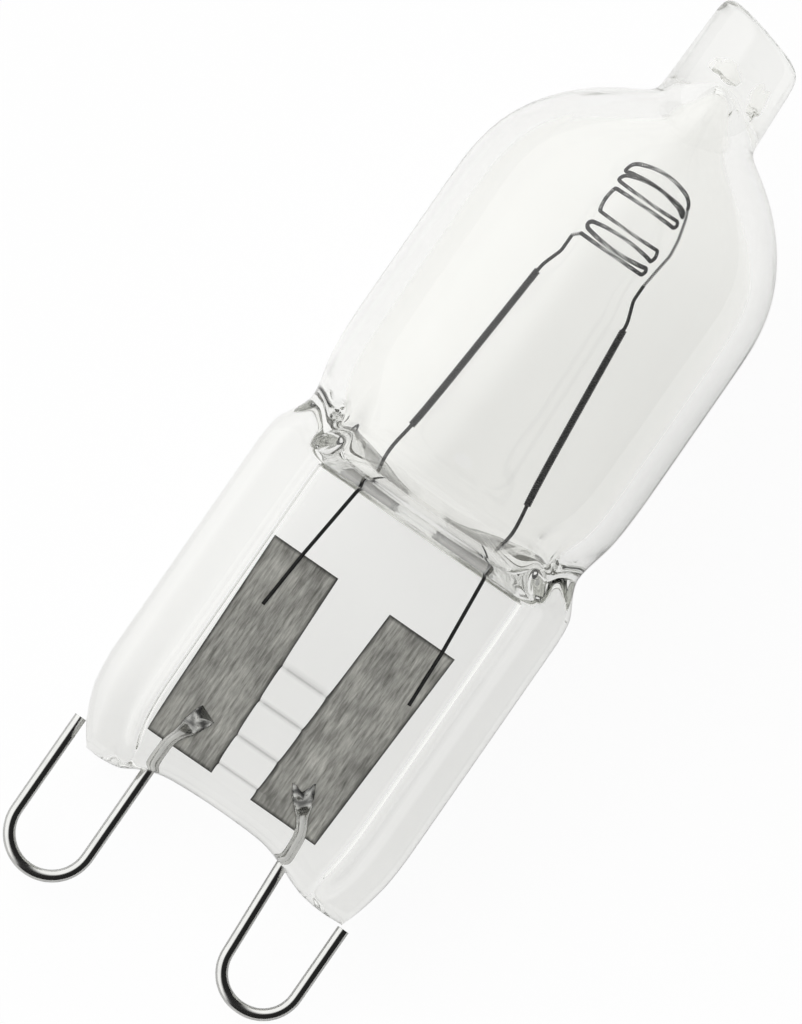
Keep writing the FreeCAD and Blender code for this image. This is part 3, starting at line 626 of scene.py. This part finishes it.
def hollow_skin():
    """The bulb's hollow, which narrows to a slit at its floor."""
    angles = [math.tau * here / HOLLOW_COUNT for here in range(HOLLOW_COUNT)]
    rings = []
    for rise, wide, deep in HOLLOW_SHARES:
        width = mix(HOLLOW_SLIT[0], HOLLOW_RADIUS, wide)
        depth = mix(HOLLOW_SLIT[1], HOLLOW_RADIUS, deep)
        height = mix(HOLLOW_FLOOR, SHOULDER_TOP, rise)
        bow = HOLLOW_BOW * (1 - rise) ** HOLLOW_BOW_POWER
        ring = round_ring(angles, height, 1.0)
        for spot in ring:
            squared = [math.copysign(abs(part) ** mix(HOLLOW_SQUARE, 1, deep), part) for part in spot.xy]
            spot.z -= bow * spot.y ** 2
            spot.xy = (width * squared[0], depth * squared[1])
        rings.append(ring)
    rings += [round_ring(angles, height, HOLLOW_RADIUS) for height in HOLLOW_HEIGHTS]
    rings += [round_ring(angles, *row) for row in HOLLOW_TOP]
    bm = bmesh.new()
    rows = skin(bm, rings)
    strip_cap(bm, rows[0], END_BULGE)
    fan_cap(bm, rows[-1], (TIP_SHIFT, 0, HOLLOW_TOP[-1][0] + HOLLOW_CROWN))
    return closed(bm, inward=True)


# Middle and half sizes of the small bubbles in the tip, and the size and fineness of their crumples
BUBBLES = (((-0.15, -0.1, 34.45), (0.5, 0.2, 0.42)), ((0.98, -0.1, 34.2), (0.3, 0.2, 0.7)))
BUBBLE_CRUMPLES = ((0.6, 2.1), (0.3, 5.0))
BUBBLE_GRID = (16, 10)


def bubble_skin(middle, half):
    """A crumpled bubble, left where the exhaust tube was melted shut."""
    (coarse, coarse_scale), (fine, fine_scale) = BUBBLE_CRUMPLES
    around, along = BUBBLE_GRID
    angles = [math.tau * here / around for here in range(around)]
    turns = [math.pi * here / along for here in range(1, along)]
    bm = bmesh.new()
    rows = skin(bm, [round_ring(angles, math.cos(turn), math.sin(turn)) for turn in turns])
    fan_cap(bm, rows[0], (0, 0, 1))
    fan_cap(bm, rows[-1], (0, 0, -1))
    for vert in bm.verts:
        swell = 1 + coarse * noise.noise(vert.co * coarse_scale + Vector(middle))
        spot = vert.co * (swell + fine * noise.noise(vert.co * fine_scale))
        vert.co = Vector([centre + size * part for centre, size, part in zip(middle, half, spot)])
    return closed(bm, inward=True)


def quartz_envelope(material):
    mesh = mesh_of("quartz_envelope", outer_skin(), hollow_skin(),
                   *(bubble_skin(middle, half) for middle, half in BUBBLES))
    glass = smoothed(linked("quartz_envelope_glass", mesh), 2)
    piece(glass, "quartz_envelope", material)


# Metal

def foil(side, sign, material):
    """A thin foil, slightly wavy, with coordinates in millimetres for its streaks."""
    across_count, along_count = FOIL_GRID
    fine_across, fine_along = FOIL_WAVE_FINENESS
    place, lean = FOIL_PLACES[side]
    bm = bmesh.new()
    layer = bm.loops.layers.uv.new("foil")
    # Distance from the foil's edge, which sets its painted edge shade.
    edge = bm.verts.layers.float.new("edge")
    rows = []
    for along in range(along_count + 1):
        share = along / along_count
        middle = sign * (place + lean * (share - 0.5))
        height = FOIL_FOOT + FOIL_LENGTH * share
        row = []
        for across in range(across_count + 1):
            x = middle + FOIL_WIDTH * (across / across_count - 0.5)
            wave = FOIL_WAVE * noise.noise(Vector((x * fine_across, height * fine_along, sign)))
            spot = bm.verts.new((x, wave, height))
            spot[edge] = min(FOIL_WIDTH * min(across, across_count - across) / across_count,
                             FOIL_LENGTH * min(along, along_count - along) / along_count)
            row.append(spot)
        rows.append(row)
    for low, high in zip(rows, rows[1:]):
        for here in range(across_count):
            face = bm.faces.new((low[here], low[here + 1], high[here + 1], high[here]))
            for loop in face.loops:
                loop[layer].uv = (loop.vert.co.x, loop.vert.co.z)
    sheet = linked(f"{side}_foil_sheet", mesh_of(f"{side}_foil_sheet", bm))
    wall = sheet.modifiers.new("wall", "SOLIDIFY")
    wall.thickness = FOIL_THICKNESS
    wall.offset = 0
    piece(settled(sheet), f"{side}_foil", material)


def lead_loop(side, sign, tree, material):
    """An outer lead: its flat end welded on the foil, out through the glass and round in a loop."""
    sizes = LOOPS[side]
    inner, outer, drop = sizes["inner"], sizes["outer"], sizes["drop"]
    foot = Vector((sign * (inner - sizes["turn"]), WIRE_PLANE, KNEE + sizes["run"]))
    knee = Vector((sign * inner, WIRE_PLANE, KNEE))
    spots = [foot, knee]
    spots += [Vector((sign * x, WIRE_PLANE, z)) for x, z in (
        (inner + sizes["lean"], -drop), (outer, -drop), (outer, sizes["end"]))]
    round_end = (outer - inner - sizes["lean"]) / 2
    path = path_mesh("loop_path", spots, [0, LOOP_BEND, round_end, round_end, 0])
    wire = grown(f"{side}_lead_loop_wire", path, tree, material, {"Wire Radius": LOOP_WIRE})
    flatten_weld(wire.data, foot, knee)
    piece(wire, f"{side}_lead_loop", material)


def flatten_weld(mesh, foot, knee):
    """Presses the wire's welded end flat on its foil, wider and a little crumpled."""
    along = (foot - knee).normalized()
    across = Vector((along.z, 0, -along.x))
    middle, contrast, fineness = WELD_BURN
    burn_and_edge_shade = mesh.attributes.new("burn_and_edge_shade", "FLOAT", "POINT")
    for vert in mesh.vertices:
        reach = (vert.co - foot).dot(along)
        if reach < -WELD_LENGTH or vert.co.z < KNEE:
            continue
        press = curve_through(WELD_PRESS, reach)
        off = (vert.co - foot).dot(across)
        up = vert.co.y - (WIRE_PLANE + LOOP_WIRE)
        crumple = sum(size * noise.noise(vert.co * scale) for size, scale in WELD_CRUMPLES)
        groove = 1 - min(1, abs(off) / LOOP_WIRE)
        vert.co += across * (off * WELD_SPREAD + crumple) * press
        vert.co -= along * (groove * press ** WELD_FORK_POWER * WELD_FORK)
        kept = 1 - (WELD_FLATNESS + WELD_GROOVE * groove) * press
        vert.co.y = WIRE_PLANE + LOOP_WIRE + up * kept + crumple * press
        patch = middle + contrast * noise.noise(vert.co * fineness)
        burn_and_edge_shade.data[vert.index].value = press * min(1, max(0, patch))


def inner_lead(side, sign, trees, material):
    """A thin lead from its foil up to the filament, with a close winding on its long straight run."""
    places = LEADS[side]
    spots = [Vector((sign * places[name], LEAD_PLANE, height)) for name, height in (
        ("weld", LEAD_WELD), ("edge", FOIL_TOP), ("foot", WINDING_FOOT), ("head", WINDING_HEAD),
        ("end", KINK), ("end", COIL_HEIGHT - COIL_DROP))]
    bends = [0, LEAD_BEND, LEAD_BEND, LEAD_BEND, LEAD_BEND / 2, 0]
    path = path_mesh("lead_path", spots, bends)
    wire = grown(f"{side}_inner_lead_wire", path, trees["bent"], material, {"Wire Radius": LEAD_WIRE})
    piece(wire, f"{side}_inner_lead", material)
    run = (spots[3] - spots[2]).normalized() * WINDING_MARGIN
    path = path_mesh("winding_path", [spots[2] + run, spots[3] - run])
    winding = grown(f"{side}_leg_winding_coil", path, trees["coiled"], material, WINDING_COIL)
    piece(winding, f"{side}_leg_winding", material)


def filament(tree, material):
    """The coiled coil: turns round the lamp's axis, with one end to the left leg and one to the right."""
    left, right = -LEADS["left"]["end"], LEADS["right"]["end"]
    foot = COIL_HEIGHT - COIL_DROP
    spots = [Vector((left, LEAD_PLANE, foot)), Vector((left, LEAD_PLANE, COIL_PASSES[0][0] - COIL_BEND))]
    ends = [height - sink for height, sink in COIL_PASSES]
    for here, (height, sink) in enumerate(COIL_PASSES):
        before = (ends[max(here - 1, 0)] + ends[here]) / 2
        after = (ends[min(here + 1, len(ends) - 1)] + ends[here]) / 2
        for step in range(1, COIL_STEPS):
            share = step / COIL_STEPS
            angle = math.pi * (here + 1 + share)
            level = curve_through((
                (0, before), (COIL_TURN, ends[here]), (1 - COIL_TURN, ends[here]), (1, after)), share)
            spots.append(Vector((COIL_SHIFT + COIL_RADIUS * math.cos(angle), COIL_RADIUS * math.sin(angle),
                                 level + sink * math.sin(math.pi * share))))
    spots += [Vector((right + x, LEAD_PLANE, z)) for x, z in (*COIL_TAIL, (0, foot))]
    coil = grown("filament_coil", path_mesh("filament_path", spots), tree, material, FILAMENT_COIL)
    piece(coil, "filament", material)


# Stage

CAMERA_TARGET = Vector((-0.836, -1.956, 6.0))
CAMERA_ROLL = math.radians(34.8)
CAMERA_LEAN = math.radians(-13.55)
CAMERA_DISTANCE = 600.0
FRAME_HEIGHT = 38.4


def camera():
    """A long lens, square onto the pinch and turned as the photograph is."""
    data = bpy.data.cameras.new("camera")
    data.sensor_width = 36.0
    data.lens = data.sensor_width * CAMERA_DISTANCE / FRAME_HEIGHT
    data.clip_start = 0.05
    data.clip_end = 10.0
    eye = bpy.data.objects.new("camera", data)
    turn = Matrix.Rotation(-CAMERA_LEAN, 4, "X") @ Matrix.Rotation(CAMERA_ROLL, 4, "Z")
    place = CAMERA_TARGET + turn.to_3x3() @ Vector((0, 0, CAMERA_DISTANCE))
    eye.matrix_world = Matrix.Translation(place * MM) @ turn
    bpy.context.scene.collection.objects.link(eye)
    bpy.context.scene.camera = eye


# Share of its own light that the floor shows to each kind of ray, and that the world shows through glass
FLOOR_GLOW = (("Is Camera Ray", 0.96), ("Is Transmission Ray", 0.74), ("Is Glossy Ray", 0.1))
WORLD_THROUGH_GLASS = 0.9
FLOOR_HALF = 0.4
WORLD_LEFT = Vector((-1, 0.1, 0)).normalized()
# Place, size and power of each lamp
LAMPS = {
    "left_softbox": ((-0.3, 0.04, 0.22), 0.25, 0.6),
    "top_fill": ((0.0, 0.06, 0.4), 0.3, 0.1),
}
GLASS_BOUNCES = 32


def seen_directly(tree):
    """How far the floor is its own light, for a ray from the camera, through glass, or off metal."""
    ray = node(tree, "ShaderNodeLightPath")
    total = None
    for kind, share in FLOOR_GLOW:
        part = sums(tree, "MULTIPLY", ray.outputs[kind], share)
        total = part if total is None else sums(tree, "MAXIMUM", total, part)
    return total


def floor():
    """A white floor. Seen directly it is nearly its own light, which leaves a faint shadow."""
    corners = [(x * FLOOR_HALF, y * FLOOR_HALF, 0) for x, y in ((-1, -1), (1, -1), (1, 1), (-1, 1))]
    mesh = bpy.data.meshes.new("floor")
    mesh.from_pydata(corners, [], [(0, 1, 2, 3)])
    material, tree, shader = new_material("white_floor", Base_Color=(0.9, 0.9, 0.9, 1), Roughness=0.9)
    glow = node(tree, "ShaderNodeEmission", (("Color", (1, 1, 1, 1)), ("Strength", 1.0)))
    both = node(tree, "ShaderNodeMixShader", (
        (0, seen_directly(tree)), (1, shader.outputs[0]), (2, glow.outputs[0])))
    tree.links.new(both.outputs[0], tree.nodes["Material Output"].inputs["Surface"])
    plane = linked("floor", mesh)
    mesh.materials.append(material)


def world():
    """Bright on the lamp's left and dark on its right, white where the camera sees it."""
    sky = bpy.data.worlds.new("studio")
    bpy.context.scene.world = sky
    sky.use_nodes = True
    tree = sky.node_tree
    where = node(tree, "ShaderNodeTexCoord")
    left = node(tree, "ShaderNodeVectorMath", (
        (0, where.outputs["Generated"]), (1, WORLD_LEFT)), operation="DOT_PRODUCT")
    tones = ramp(tree, left.outputs["Value"], (0.03, 0.03, 0.03), (1.6, 1.6, 1.6), (0.05, 0.32))
    ray = node(tree, "ShaderNodeLightPath")
    through = sums(tree, "MULTIPLY", ray.outputs["Is Transmission Ray"], WORLD_THROUGH_GLASS)
    white = sums(tree, "MAXIMUM", ray.outputs["Is Camera Ray"], through)
    shown = mixed(tree, white, tones, (1, 1, 1, 1))
    tree.links.new(shown, tree.nodes["Background"].inputs["Color"])


def lights():
    """Soft lamps that light the lamp and the floor, without showing in glass or metal."""
    for name, (place, size, power) in LAMPS.items():
        data = bpy.data.lights.new(name, "AREA")
        data.size = size
        data.energy = power
        lamp = bpy.data.objects.new(name, data)
        lamp.location = place
        lamp.rotation_euler = (-Vector(place)).to_track_quat("-Z", "Y").to_euler()
        lamp.visible_glossy = False
        lamp.visible_transmission = False
        bpy.context.scene.collection.objects.link(lamp)


def light_paths():
    """Enough bounces for the light that the thick glass guides inside itself."""
    cycles = bpy.context.scene.cycles
    cycles.max_bounces = GLASS_BOUNCES
    cycles.glossy_bounces = GLASS_BOUNCES
    cycles.transmission_bounces = GLASS_BOUNCES


def build():
    trees = {"bent": bent_wire_tree(), "coiled": coiled_wire_tree()}
    foil_metal = foil_finish()
    loop_metal = wire_finish("bright_wire", (0.48, 0.48, 0.47), (0.62, 0.62, 0.6), 0.14)
    lead_metal = wire_finish("dark_wire", (0.012, 0.012, 0.012), (0.04, 0.04, 0.04), 0.3)
    tungsten = wire_finish("tungsten", (0.02, 0.02, 0.021), (0.07, 0.07, 0.07), 0.3)
    quartz_envelope(quartz())
    for side, sign in SIDES:
        foil(side, sign, foil_metal)
        lead_loop(side, sign, trees["bent"], loop_metal)
        inner_lead(side, sign, trees, lead_metal)
    filament(trees["coiled"], tungsten)
    camera()
    floor()
    world()
    lights()
    light_paths()
    bpy.context.scene.view_settings.view_transform = "Standard"


build()
